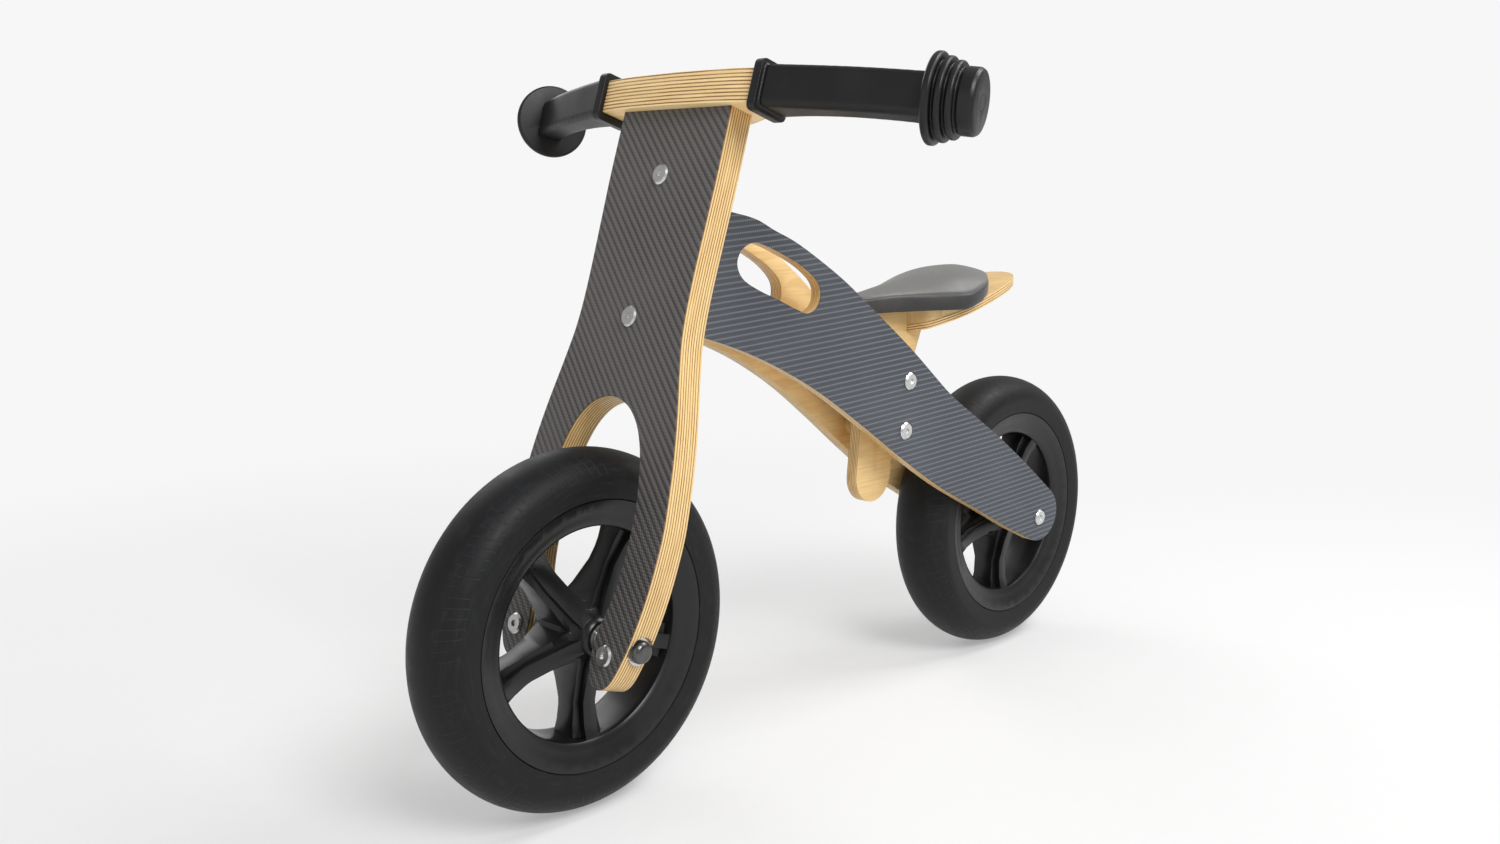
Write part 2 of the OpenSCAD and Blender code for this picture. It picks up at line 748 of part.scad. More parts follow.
module seat_shell() {
    steps = concat([for (x = [shell_front_x:-seat_step:shell_tail_x]) x], [shell_tail_x]);
    color(birch) difference() {
        intersection() {
            side_prism(60) polygon(concat([for (x = steps) [x, shell_z(x)]],
                                          [for (x = reversed(steps)) [x, shell_z(x) + shell_t]]));
            linear_extrude(600) polygon(concat(curve(shell_half, 4), mirrored_y(curve(shell_half, 4))));
        }
        shell_screw_solids(5);
    }
}

// Wedge that fills the space between the falling shell and the level base
wedge_tip_x = -160;
module seat_wedge() {
    color(birch) intersection() {
        side_prism(60) polygon(concat([for (x = [shell_front_x:-seat_step:lift_x + seat_step]) [x, shell_z(x) + shell_t]],
                                      [[wedge_tip_x, shell_z(wedge_tip_x) + shell_t], [wedge_tip_x, base_z],
                                       [shell_front_x, base_z]]));
        linear_extrude(600) polygon(concat(curve(shell_half, 4), mirrored_y(curve(shell_half, 4))));
    }
}

base_steps = concat([nose_x], [for (x = [lift_x:-seat_step:pad_tail_x]) x], [pad_tail_x]);
base_half = [for (q = pad_half) [nose_x - 7 + (q[0] - nose_x) * 0.94, q[1] * 0.84]];

module base_plan() {
    linear_extrude(600) polygon(concat(curve(base_half, 4), mirrored_y(curve(base_half, 4))));
}

// Layer that lies on the post and the shell, from height a to height b above them
module seat_layer(a, b) {
    side_prism(60) polygon(concat([for (x = base_steps) [x, pad_under_z(x) + a]],
                                  [for (x = reversed(base_steps)) [x, pad_under_z(x) + b]]));
}

module seat_base() {
    color(black_plastic) difference() {
        intersection() {
            seat_layer(0, base_t);
            base_plan();
        }
        base_screw_solids();
        shell_screw_solids();
    }
}

module seat_pad() {
    color(black_rubber) difference() {
        intersection() {
            side_prism(60) polygon(concat([for (x = base_steps) [x, pad_under_z(x)]],
                                          reversed(curve(pad_crown, 4))));
            linear_extrude(600) polygon(concat(curve(pad_half, 4), mirrored_y(curve(pad_half, 4))));
        }
        intersection() {
            seat_layer(-1, base_t);
            base_plan();
        }
    }
}

module seat_base_screws() {
    color(bright_zinc) base_screw_solids();
}

module shell_screws() {
    color(bright_zinc) shell_screw_solids();
}

left_panel();
left_panel_laminate();
right_panel();
right_panel_laminate();
head_block();
head_dowels();
steering_bushes();
seat_clamp_bolts();
seat_clamp_nuts();
seat_clamp_spacers();
rear_axle();
rear_axle_nut();
rear_axle_spacers();
fork_plate();
fork_laminate();
upper_steering_lug();
lower_steering_lug();
steering_pin();
steering_pin_nut();
lug_bolts();
leg_bolts();
stop_buffers();
handlebar();
handlebar_screws();
left_grip();
right_grip();
left_bumper();
right_bumper();
bumper_screws();
bumper_plugs();
front_axle();
front_axle_caps();
front_axle_washers();
front_axle_spacers();
front_rim();
front_tyre();
front_bearings();
rear_rim();
rear_tyre();
rear_bearings();
seat_post();
seat_shell();
seat_wedge();
seat_base();
seat_pad();
seat_base_screws();
shell_screws();
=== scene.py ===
"""Looks of a child's plywood balance bike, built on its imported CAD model."""

import json
import logging
import math
from dataclasses import dataclass, field
from enum import Enum
from typing import Any, Dict, List, Optional, Sequence, Tuple, Union

import bpy
import numpy as np
from mathutils import Euler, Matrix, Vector

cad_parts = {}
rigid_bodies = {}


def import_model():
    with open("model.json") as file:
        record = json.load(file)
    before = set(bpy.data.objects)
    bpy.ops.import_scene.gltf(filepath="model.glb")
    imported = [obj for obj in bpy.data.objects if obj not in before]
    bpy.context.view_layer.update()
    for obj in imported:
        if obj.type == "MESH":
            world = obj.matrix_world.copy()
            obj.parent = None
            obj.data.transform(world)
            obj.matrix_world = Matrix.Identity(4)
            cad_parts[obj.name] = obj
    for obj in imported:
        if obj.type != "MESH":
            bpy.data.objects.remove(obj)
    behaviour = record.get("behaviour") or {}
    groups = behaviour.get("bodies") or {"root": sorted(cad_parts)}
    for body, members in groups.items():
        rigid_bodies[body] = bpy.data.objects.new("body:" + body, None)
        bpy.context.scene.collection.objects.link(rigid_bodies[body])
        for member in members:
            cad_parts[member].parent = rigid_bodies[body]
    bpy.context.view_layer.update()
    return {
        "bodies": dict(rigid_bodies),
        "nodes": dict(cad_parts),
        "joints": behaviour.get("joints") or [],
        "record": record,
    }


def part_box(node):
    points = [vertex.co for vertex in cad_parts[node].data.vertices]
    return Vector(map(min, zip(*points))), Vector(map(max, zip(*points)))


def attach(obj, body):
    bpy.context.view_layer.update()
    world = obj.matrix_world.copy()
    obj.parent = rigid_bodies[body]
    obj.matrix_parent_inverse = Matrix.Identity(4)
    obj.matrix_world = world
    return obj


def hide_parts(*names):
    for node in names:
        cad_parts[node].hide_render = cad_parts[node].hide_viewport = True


LOG = logging.getLogger("balance_bike")
Colour = Tuple[float, float, float]
Socket = bpy.types.NodeSocket
Value = Union[Socket, float]
Frame = Dict[str, Any]

# Whole plies added below a board, so that the count of plies is never negative.
PLIES_BELOW = 200
# The seat shell climbs towards its tail: where that starts, its slope and how the slope eases.
BEND_FROM = -0.123
BEND_SLOPE = 0.36
BEND_EASE = 0.62
# Corners closer than this are one corner.
MERGE = 0.000005


class Board(Enum):
    """The flat boards of the bike, each with its own straight directions."""

    FORK = "fork plate"
    LEFT = "left panel"
    RIGHT = "right panel"
    MIDDLE = "seat post"


class Stack(Enum):
    """Which direction of a board its plies are stacked along."""

    X = 0
    Y = 1
    Z = 2


@dataclass(frozen=True)
class Place:
    """Where a board's own directions start and how they are turned.

    For the fork plate the first direction leaves its front face, the second
    runs across the bike and the third climbs the plate. For a side panel the
    first runs along it, the second leaves its face and the third is up.
    """

    origin: Tuple[float, float, float]
    turn: Tuple[float, float, float]


PLACES: Dict[Board, Place] = {
    Board.FORK: Place((0.348, 0.0, 0.0), (0.0, math.radians(-17.5), 0.0)),
    Board.LEFT: Place((0.0, 0.0333, 0.0), (0.0, 0.0, math.radians(-5.5))),
    Board.RIGHT: Place((0.0, -0.0333, 0.0), (0.0, 0.0, math.radians(5.5))),
    Board.MIDDLE: Place((0.0, 0.0, 0.0), (0.0, 0.0, 0.0)),
}


def deselect_all() -> None:
    """Leaves nothing selected, so the next operator acts only on what is chosen."""
    if bpy.context.mode != "OBJECT":
        bpy.ops.object.mode_set(mode="OBJECT")
    bpy.ops.object.select_all(action="DESELECT")


def choose(obj: bpy.types.Object) -> None:
    """Selects one object alone and makes it active.

    Args:
        obj: The object that the next operator works on.
    """
    deselect_all()
    obj.select_set(True)
    bpy.context.view_layer.objects.active = obj


def read_points(mesh: bpy.types.Mesh, field_name: str = "co") -> np.ndarray:
    """Reads a vector of every corner of a mesh.

    Args:
        mesh: The mesh.
        field_name: "co" for places or "normal" for directions.

    Returns:
        One row of three numbers a corner.
    """
    values = np.empty(len(mesh.vertices) * 3)
    mesh.vertices.foreach_get(field_name, values)
    return values.reshape(-1, 3)


class Graph:
    """One material's node tree, built by short calls."""

    def __init__(self, name: str) -> None:
        """Starts an empty tree with a Principled shader.

        Args:
            name: The material's name.
        """
        self.material = bpy.data.materials.new(name)
        self.material.use_nodes = True
        self.tree = self.material.node_tree
        self.tree.nodes.clear()
        end = self.tree.nodes.new("ShaderNodeOutputMaterial")
        self.shader = self.tree.nodes.new("ShaderNodeBsdfPrincipled")
        self.tree.links.new(self.shader.outputs["BSDF"], end.inputs["Surface"])
        self.relief: Optional[Socket] = None

    def put(self, target: Socket, value: Union[Value, Sequence[float]]) -> None:
        """Links a socket to a target, or sets the target's own value.

        Args:
            target: The input socket.
            value: An output socket, a number or a vector.
        """
        if isinstance(value, bpy.types.NodeSocket):
            self.tree.links.new(value, target)
        elif isinstance(value, (int, float)):
            target.default_value = value
        else:
            items = tuple(value)
            opaque = len(target.default_value) == 4 and len(items) == 3
            target.default_value = items + (1.0,) if opaque else items

    def sums(self, operation: str, a: Value, b: Value = 0.0, c: Value = 0.0) -> Socket:
        """Adds a Math node.

        Args:
            operation: The node's operation.
            a: Its first value.
            b: Its second value, if it has one.
            c: Its third value, if it has one.

        Returns:
            The node's result.
        """
        node = self.tree.nodes.new("ShaderNodeMath")
        node.operation = operation
        for i, v in enumerate((a, b, c)):
            self.put(node.inputs[i], v)
        return node.outputs[0]

    def add(self, a: Value, b: Value) -> Socket:
        """Returns a + b."""
        return self.sums("ADD", a, b)

    def times(self, a: Value, b: Value) -> Socket:
        """Returns a * b."""
        return self.sums("MULTIPLY", a, b)

    def coordinates(self, place: Place = PLACES[Board.MIDDLE]) -> Tuple[Socket, Socket, Socket]:
        """Reads a point's place in a board's own directions.

        Args:
            place: The board's origin and turn.

        Returns:
            The three coordinates, in metres.
        """
        source = self.tree.nodes.new("ShaderNodeTexCoord")
        mapping = self.tree.nodes.new("ShaderNodeMapping")
        mapping.vector_type = "TEXTURE"
        mapping.inputs["Location"].default_value = place.origin
        mapping.inputs["Rotation"].default_value = place.turn
        self.tree.links.new(source.outputs["Object"], mapping.inputs["Vector"])
        parts = self.tree.nodes.new("ShaderNodeSeparateXYZ")
        self.tree.links.new(mapping.outputs[0], parts.inputs[0])
        return parts.outputs[0], parts.outputs[1], parts.outputs[2]

    def vector(self, x: Value, y: Value, z: Value) -> Socket:
        """Joins three values into a vector.

        Args:
            x: The first value.
            y: The second value.
            z: The third value.

        Returns:
            The vector.
        """
        node = self.tree.nodes.new("ShaderNodeCombineXYZ")
        for i, v in enumerate((x, y, z)):
            self.put(node.inputs[i], v)
        return node.outputs[0]

    def noise(self, at: Socket, scale: float = 1.0, detail: float = 2.0, rough: float = 0.5) -> Socket:
        """Adds a noise that runs from 0 to 1.

        Args:
            at: Where the noise is read.
            scale: How fine it is.
            detail: How many finer layers it has.
            rough: How strong those are.

        Returns:
            The noise's value.
        """
        node = self.tree.nodes.new("ShaderNodeTexNoise")
        self.put(node.inputs["Vector"], at)
        node.inputs["Scale"].default_value = scale
        node.inputs["Detail"].default_value = detail
        node.inputs["Roughness"].default_value = rough
        return node.outputs[0]

    def remap(
        self, value: Value, low: float, high: float, to_low: float = 0.0, to_high: float = 1.0
    ) -> Socket:
        """Turns one range of values into another, smoothly and clamped.

        Args:
            value: The value to turn.
            low: Where the old range starts.
            high: Where it ends.
            to_low: Where the new range starts.
            to_high: Where it ends.

        Returns:
            The new value.
        """
        node = self.tree.nodes.new("ShaderNodeMapRange")
        node.interpolation_type = "SMOOTHSTEP"
        for i, v in enumerate((value, low, high, to_low, to_high)):
            self.put(node.inputs[i], v)
        return node.outputs[0]

    def mix(self, amount: Value, a: Union[Socket, Colour], b: Union[Socket, Colour]) -> Socket:
        """Blends two colours.

        Args:
            amount: 0 for a, 1 for b.
            a: The first colour.
            b: The second colour.

        Returns:
            The blended colour.
        """
        node = self.tree.nodes.new("ShaderNodeMix")
        node.data_type = "RGBA"
        self.put(node.inputs["Factor"], amount)
        self.put([s for s in node.inputs if s.name == "A" and s.type == "RGBA"][0], a)
        self.put([s for s in node.inputs if s.name == "B" and s.type == "RGBA"][0], b)
        return [s for s in node.outputs if s.type == "RGBA"][0]

    def wave(self, phase: Value) -> Socket:
        """Adds a wave from 0 to 1.

        Args:
            phase: Its place in the wave, which repeats when this grows by one.

        Returns:
            The wave's value.
        """
        return self.add(self.times(self.sums("SINE", self.times(phase, 2 * math.pi)), 0.5), 0.5)

    def bump(self, height: Value, depth: float, strength: float = 1.0) -> None:
        """Adds relief to the surface.

        Args:
            height: A value from 0 to 1.
            depth: The relief's depth in metres.
            strength: How strongly it shows.
        """
        node = self.tree.nodes.new("ShaderNodeBump")
        node.inputs["Distance"].default_value = depth
        node.inputs["Strength"].default_value = strength
        self.put(node.inputs["Height"], height)
        if self.relief is not None:
            self.tree.links.new(self.relief, node.inputs["Normal"])
        self.relief = node.outputs[0]
        self.tree.links.new(self.relief, self.shader.inputs["Normal"])

    def finish(self, colour: Union[Socket, Colour], rough: Value, **constants: float) -> bpy.types.Material:
        """Sets the shader and returns the material.

        Args:
            colour: The base colour.
            rough: The roughness.
            **constants: Other shader sockets, with underscores for spaces.

        Returns:
            The finished material.
        """
        self.put(self.shader.inputs["Base Color"], colour)
        self.put(self.shader.inputs["Roughness"], rough)
        for name, value in constants.items():
            self.shader.inputs[name.replace("_", " ")].default_value = value
        return self.material


@dataclass(frozen=True)
class PlyFinish:
    """Clear-lacquered birch plywood that shows its plies at every edge."""

    name: str
    board: Board
    stack: Stack
    along: Stack
    pitch: float
    start: float = 0.0
    bend: bool = False
    light: Colour = (0.85, 0.625, 0.300)
    tan: Colour = (0.66, 0.405, 0.150)
    glue: Colour = (0.200, 0.088, 0.028)

    def material(self) -> bpy.types.Material:
        """Builds the plywood.

        Returns:
            The material.
        """
        g = Graph(self.name)
        axes = g.coordinates(PLACES[self.board])
        depth = axes[self.stack.value]
        along = axes[self.along.value]
        across = axes[3 - self.stack.value - self.along.value]
        if self.bend:
            back = g.sums("SUBTRACT", BEND_FROM, axes[0])
            rise = g.sums("SUBTRACT", g.times(back, BEND_SLOPE), g.times(g.times(back, back), BEND_EASE))
            depth = g.sums("SUBTRACT", depth, rise)
        level = g.times(g.add(depth, self.start + self.pitch * PLIES_BELOW), 1.0 / self.pitch)
        uneven = g.noise(g.vector(g.times(along, 9.0), g.times(across, 9.0), depth), 1.0)
        level = g.add(level, g.times(uneven, 0.07))
        layer = g.sums("FLOOR", level)
        within = g.sums("FRACT", level)
        odd = g.sums("MODULO", layer, 2.0)
        seed = g.times(layer, 3.71)
        inward = g.add(g.times(depth, 900.0), seed)
        fine_long = g.noise(g.vector(g.times(along, 14.0), g.times(across, 420.0), inward), 1.0, 3.0, 0.6)
        fine_cross = g.noise(g.vector(g.times(along, 500.0), g.times(across, 14.0), inward), 1.0, 3.0, 0.6)
        figure = g.noise(g.vector(g.times(along, 5.0), g.times(across, 26.0), seed), 1.0, 2.0, 0.55)
        rings = g.wave(g.times(figure, 6.0))
        knots = g.noise(g.vector(g.times(along, 22.0), g.times(across, 30.0), seed), 1.0, 1.0, 0.4)
        knot = g.remap(knots, 0.70, 0.80)
        face = g.mix(g.remap(rings, 0.45, 1.0, 0.0, 0.40), self.light, self.tan)
        face = g.mix(g.remap(fine_long, 0.45, 0.72, 0.0, 0.42), face, self.tan)
        face = g.mix(g.times(knot, 0.75), face, self.glue)
        end = g.mix(g.remap(fine_cross, 0.40, 0.7, 0.0, 0.65), self.light, self.tan)
        end = g.mix(0.28, end, self.tan)
        colour = g.mix(odd, face, end)
        seam = g.sums("MINIMUM", within, g.sums("SUBTRACT", 1.0, within))
        patchy = g.noise(g.vector(g.times(along, 30.0), g.times(across, 30.0), seed), 1.0)
        broken = g.remap(patchy, 0.3, 0.6, 0.62, 1.0)
        colour = g.mix(g.times(g.remap(seam, 0.09, 0.27, 1.0, 0.0), broken), colour, self.glue)
        broad = g.noise(g.vector(g.times(along, 3.0), g.times(across, 3.0), g.times(depth, 3.0)), 3.0)
        colour = g.mix(g.remap(broad, 0.3, 0.75, 0.0, 0.14), colour, self.tan)
        g.bump(g.add(fine_long, g.times(seam, 0.8)), 0.00012, 0.5)
        rough = g.remap(fine_long, 0.2, 0.8, 0.38, 0.55)
        return g.finish(colour, rough, Specular_IOR_Level=0.35, Coat_Weight=0.08, Coat_Roughness=0.25)


@dataclass(frozen=True)
class TwillFinish:
    """Ribbed woven laminate on the front of the fork plate."""

    name: str = "fork_twill"
    rib: float = 0.0081
    thread: float = 0.0024
    crest: Colour = (0.135, 0.125, 0.120)
    groove: Colour = (0.040, 0.037, 0.036)
    hole: Colour = (0.004, 0.004, 0.004)
    dots_from: float = 0.24

    def material(self) -> bpy.types.Material:
        """Builds the laminate.

        Returns:
            The material.
        """
        g = Graph(self.name)
        out, across, up = g.coordinates(PLACES[Board.FORK])
        sway = g.times(g.noise(g.vector(across, up, out), 30.0), 0.05)
        phase = g.add(g.times(g.add(across, up), 1.0 / self.rib), sway)
        ridge = g.wave(phase)
        threads = g.wave(g.times(up, 1.0 / self.thread))
        columns = g.wave(g.add(g.times(across, 1.0 / self.thread), g.times(up, 0.5 / self.thread)))
        weave = g.times(threads, columns)
        shade = g.add(g.times(g.remap(ridge, 0.05, 0.7), 0.75), g.times(weave, 0.25))
        colour = g.mix(shade, self.groove, self.crest)
        low = g.remap(up, self.dots_from + 0.05, self.dots_from)
        dots = g.times(g.remap(threads, 0.45, 0.20), g.remap(columns, 0.50, 0.25))
        colour = g.mix(g.times(low, g.times(dots, 0.9)), colour, self.hole)
        wear = g.noise(g.vector(across, up, out), 9.0, 3.0)
        colour = g.mix(g.remap(wear, 0.35, 0.7, 0.0, 0.25), colour, self.crest)
        g.bump(g.remap(ridge, 0.0, 1.0), 0.00045, 0.8)
        g.bump(weave, 0.00012, 0.5)
        rough = g.remap(weave, 0.0, 1.0, 0.62, 0.42)
        return g.finish(colour, rough, Specular_IOR_Level=0.45)


@dataclass(frozen=True)
class RowFinish:
    """Woven laminate on a side panel, with rows of bright dashes."""

    name: str
    board: Board
    row: float = 0.0050
    dash: float = 0.0021
    rise: float = 0.079
    ground: Colour = (0.052, 0.058, 0.070)
    bright: Colour = (0.150, 0.165, 0.192)
    pit: Colour = (0.003, 0.003, 0.005)

    def material(self) -> bpy.types.Material:
        """Builds the laminate.

        Returns:
            The material.
        """
        g = Graph(self.name)
        along, _, up = g.coordinates(PLACES[self.board])
        sway = g.times(g.noise(g.vector(along, 0.0, up), 25.0), 0.06)
        rows = g.add(g.times(g.add(up, g.times(along, self.rise)), 1.0 / self.row), sway)
        dashes = g.wave(g.add(g.times(along, 1.0 / self.dash), g.times(rows, 0.35)))
        fine = g.wave(g.add(g.times(rows, 3.0), 0.5))
        line = g.remap(g.wave(rows), 0.62, 0.99)
        pits = g.times(g.remap(fine, 0.60, 0.25), g.remap(dashes, 0.62, 0.30))
        pits = g.times(pits, g.sums("SUBTRACT", 1.0, line))
        colour = g.mix(g.times(line, g.remap(dashes, 0.10, 0.75, 0.40, 1.0)), self.ground, self.bright)
        colour = g.mix(g.times(pits, 0.7), colour, self.pit)
        wear = g.noise(g.vector(along, 0.0, up), 8.0, 3.0)
        colour = g.mix(g.remap(wear, 0.35, 0.75, 0.0, 0.18), colour, self.bright)
        relief = g.add(g.times(line, 0.6), g.times(g.sums("SUBTRACT", 1.0, pits), 0.4))
        g.bump(relief, 0.00030, 0.7)
        return g.finish(colour, g.remap(dashes, 0.0, 1.0, 0.50, 0.38), Specular_IOR_Level=0.5)


@dataclass(frozen=True)
class TyreFinish:
    """Matte foam rubber with fine sipes on both shoulders."""

    name: str
    axle_x: float
    axle_z: float
    outer: float
    sipes: int = 110
    tone: Colour = (0.0078, 0.0081, 0.0090)
    dust: Colour = (0.0240, 0.0245, 0.0260)

    def material(self) -> bpy.types.Material:
        """Builds the rubber.

        Returns:
            The material.
        """
        g = Graph(self.name)
        x, y, z = g.coordinates(Place((self.axle_x, 0.0, self.axle_z), (0.0, 0.0, 0.0)))
        radius = g.sums("SQRT", g.add(g.times(x, x), g.times(z, z)))
        angle = g.sums("ARCTAN2", z, x)
        lean = g.times(g.sums("SUBTRACT", radius, self.outer), 2.6)
        turn = g.times(g.add(angle, lean), self.sipes / (2 * math.pi))
        cut = g.remap(g.wave(turn), 0.90, 0.995)
        outer_part = g.remap(radius, self.outer * 0.865, self.outer * 0.90)
        crown = g.remap(radius, self.outer * 0.985, self.outer * 0.965)
        broken = g.remap(g.noise(g.vector(x, y, z), 55.0, 2.0), 0.38, 0.55)
        sipe = g.times(g.times(cut, outer_part), g.times(crown, broken))
        grain = g.noise(g.vector(x, y, z), 900.0, 3.0, 0.6)
        scuff = g.noise(g.vector(g.times(angle, 1.2), g.times(radius, 60.0), y), 6.0, 4.0, 0.65)
        colour = g.mix(g.remap(scuff, 0.45, 0.8, 0.0, 0.6), self.tone, self.dust)
        colour = g.mix(g.times(sipe, 0.45), colour, self.dust)
        g.bump(g.sums("SUBTRACT", 1.0, sipe), 0.0009, 0.55)
        g.bump(grain, 0.00006, 0.4)
        return g.finish(colour, g.remap(scuff, 0.3, 0.8, 0.46, 0.62), Specular_IOR_Level=0.22)


@dataclass(frozen=True)
class MouldedFinish:
    """Moulded rubber or plastic with a fine grain and slight wear."""

    name: str
    tone: Colour
    worn: Colour
    rough: float
    grain: float = 1400.0
    depth: float = 0.00004
    coat: float = 0.0

    def material(self) -> bpy.types.Material:
        """Builds the moulded finish.

        Returns:
            The material.
        """
        g = Graph(self.name)
        x, y, z = g.coordinates()
        at = g.vector(x, y, z)
        fine = g.noise(at, self.grain, 2.0)
        broad = g.noise(at, 22.0, 4.0, 0.6)
        colour = g.mix(g.remap(broad, 0.42, 0.75, 0.0, 0.7), self.tone, self.worn)
        g.bump(fine, self.depth, 0.5)
        rough = g.add(g.remap(broad, 0.3, 0.75, -0.05, 0.08), self.rough)
        return g.finish(
            colour, rough, Specular_IOR_Level=0.38, Coat_Weight=self.coat, Coat_Roughness=0.2)


@dataclass(frozen=True)
class MetalFinish:
    """Plated or turned metal with fine scratches."""

    name: str
    tone: Colour
    dull: Colour
    rough: float

    def material(self) -> bpy.types.Material:
        """Builds the metal.

        Returns:
            The material.
        """
        g = Graph(self.name)
        x, y, z = g.coordinates()
        at = g.vector(x, y, z)
        cloud = g.noise(at, 160.0, 3.0)
        scratch = g.noise(g.vector(g.times(x, 2500.0), g.times(y, 300.0), g.times(z, 300.0)), 1.0, 2.0)
        colour = g.mix(g.remap(cloud, 0.35, 0.75, 0.0, 0.6), self.tone, self.dull)
        g.bump(scratch, 0.00002, 0.4)
        rough = g.add(g.remap(cloud, 0.3, 0.7, -0.04, 0.10), self.rough)
        return g.finish(colour, rough, Metallic=1.0)


@dataclass(frozen=True)
class PadFinish:
    """Artificial leather with a fine pebble grain, with a painted sheen, painted shade low on its upright
    side and a painted lighter top.
    """

    name: str = "pad_cover"
    tone: Colour = (0.050, 0.051, 0.052)
    # Painted sheen: a lighter colour laid in broad patches and on the pebble tops.
    painted_sheen: Colour = (0.120, 0.119, 0.114)
    # Painted shade for the pad's upright side, darkest at its bottom.
    shade: Colour = (0.016, 0.016, 0.016)
    # Painted highlight: the top above the seam is lighter, as light from above and the backdrop's
    # reflection would make it.
    painted_top_light: Colour = (0.130, 0.128, 0.122)
    # Height where the painted shade on the side is darkest.
    painted_shade_from: float = 0.372

    def material(self) -> bpy.types.Material:
        """Builds the cover.

        Returns:
            The material.
        """
        g = Graph(self.name)
        x, y, z = g.coordinates()
        at = g.vector(x, y, z)
        cells = g.tree.nodes.new("ShaderNodeTexVoronoi")
        cells.inputs["Scale"].default_value = 620.0
        g.put(cells.inputs["Vector"], at)
        pebble = g.remap(cells.outputs["Distance"], 0.1, 0.7, 1.0, 0.0)
        broad = g.noise(at, 26.0, 3.0)
        # Painted sheen, in broad patches and on the pebble tops.
        colour = g.mix(g.remap(broad, 0.4, 0.75), self.tone, self.painted_sheen)
        colour = g.mix(g.times(pebble, 0.25), colour, self.painted_sheen)
        # Painted shade: the upright side is darkened towards its bottom, along a level that follows the
        # shell's climb at the tail.
        climb = g.times(g.sums("MAXIMUM", g.sums("SUBTRACT", -0.163, x), 0.0), 0.27)
        level = g.sums("SUBTRACT", z, climb)
        side = g.remap(level, self.painted_shade_from, self.painted_shade_from + 0.014, 0.96, 0.72)
        colour = g.mix(side, colour, self.shade)
        # Painted highlight: above the seam the top takes the lighter colour.
        colour = g.mix(g.remap(level, self.painted_shade_from + 0.0145, self.painted_shade_from + 0.0175), colour, self.painted_top_light)
        g.bump(pebble, 0.00012, 0.45)
        g.bump(broad, 0.0006, 0.25)
        rough = g.remap(pebble, 0.0, 1.0, 0.52, 0.40)
        return g.finish(colour, rough, Specular_IOR_Level=0.45, Sheen_Weight=0.15)


class Wardrobe:
    """All the finishes of the bike, made once each."""

    def __init__(self) -> None:
        """Builds every material."""
        front, rear, outer = self.axles()
        panel_ply = 0.0127 / 7
        self.fork_ply = PlyFinish("fork_ply", Board.FORK, Stack.X, Stack.Z, 0.00262, 0.00085).material()
        self.bar_ply = PlyFinish(
            "bar_ply", Board.FORK, Stack.Z, Stack.Y, 0.0030,
            light=(0.95, 0.72, 0.38), tan=(0.78, 0.50, 0.20)).material()
        self.left_ply = PlyFinish(
            "left_panel_ply", Board.LEFT, Stack.Y, Stack.X, panel_ply, 0.0006).material()
        self.right_ply = PlyFinish(
            "right_panel_ply", Board.RIGHT, Stack.Y, Stack.X, panel_ply, -0.0006).material()
        self.post_ply = PlyFinish("post_ply", Board.MIDDLE, Stack.Y, Stack.Z, 0.001846).material()
        self.shell_ply = PlyFinish(
            "shell_ply", Board.MIDDLE, Stack.Z, Stack.X, 0.002514, 0.000629 - 0.3502, bend=True).material()
        self.wedge_ply = PlyFinish("wedge_birch", Board.MIDDLE, Stack.Y, Stack.Z, 0.2, 0.1).material()
        self.twill = TwillFinish().material()
        self.left_rows = RowFinish("left_panel_rows", Board.LEFT).material()
        self.right_rows = RowFinish("right_panel_rows", Board.RIGHT).material()
        self.front_tyre = TyreFinish("front_tyre_foam", front[0], front[1], outer).material()
        self.rear_tyre = TyreFinish("rear_tyre_foam", rear[0], rear[1], outer).material()
        self.rim = MouldedFinish(
            "rim_nylon", (0.0042, 0.0044, 0.0048), (0.0085, 0.0085, 0.0090), 0.32,
            grain=500.0, depth=0.00002, coat=0.06).material()
        self.grip = MouldedFinish(
            "grip_rubber", (0.0042, 0.0042, 0.0045), (0.0080, 0.0080, 0.0085), 0.42).material()
        self.nylon = MouldedFinish(
            "black_nylon", (0.0090, 0.0090, 0.0096), (0.0150, 0.0150, 0.0158), 0.42).material()
        self.zinc = MetalFinish(
            "bright_zinc", (0.66, 0.66, 0.655), (0.45, 0.45, 0.445), 0.26).material()
        self.dark_zinc = MetalFinish(
            "dark_zinc", (0.10, 0.10, 0.10), (0.17, 0.165, 0.16), 0.26).material()
        self.aluminium = MetalFinish(
            "turned_aluminium", (0.72, 0.72, 0.73), (0.55, 0.55, 0.56), 0.32).material()
        self.pad = PadFinish().material()

    @staticmethod
    def axles() -> Tuple[Tuple[float, float], Tuple[float, float], float]:
        """Reads both axle places and the tyre radius from the CAD tyres.

        Returns:
            Front x and z, rear x and z, and the outer radius.
        """
        places = []
        radius = 0.0
        for node in ("front_tyre", "rear_tyre"):
            low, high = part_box(node)
            places.append(((low[0] + high[0]) / 2, (low[2] + high[2]) / 2))
            radius = (high[2] - low[2]) / 2
        return places[0], places[1], radius

    def dress(self, obj: bpy.types.Object, material: bpy.types.Material) -> None:
        """Gives an object one material on all its slots.

        Args:
            obj: The object.
            material: Its finish.
        """
        if not obj.data.materials:
            obj.data.materials.append(material)
        for slot in obj.material_slots:
            slot.material = material


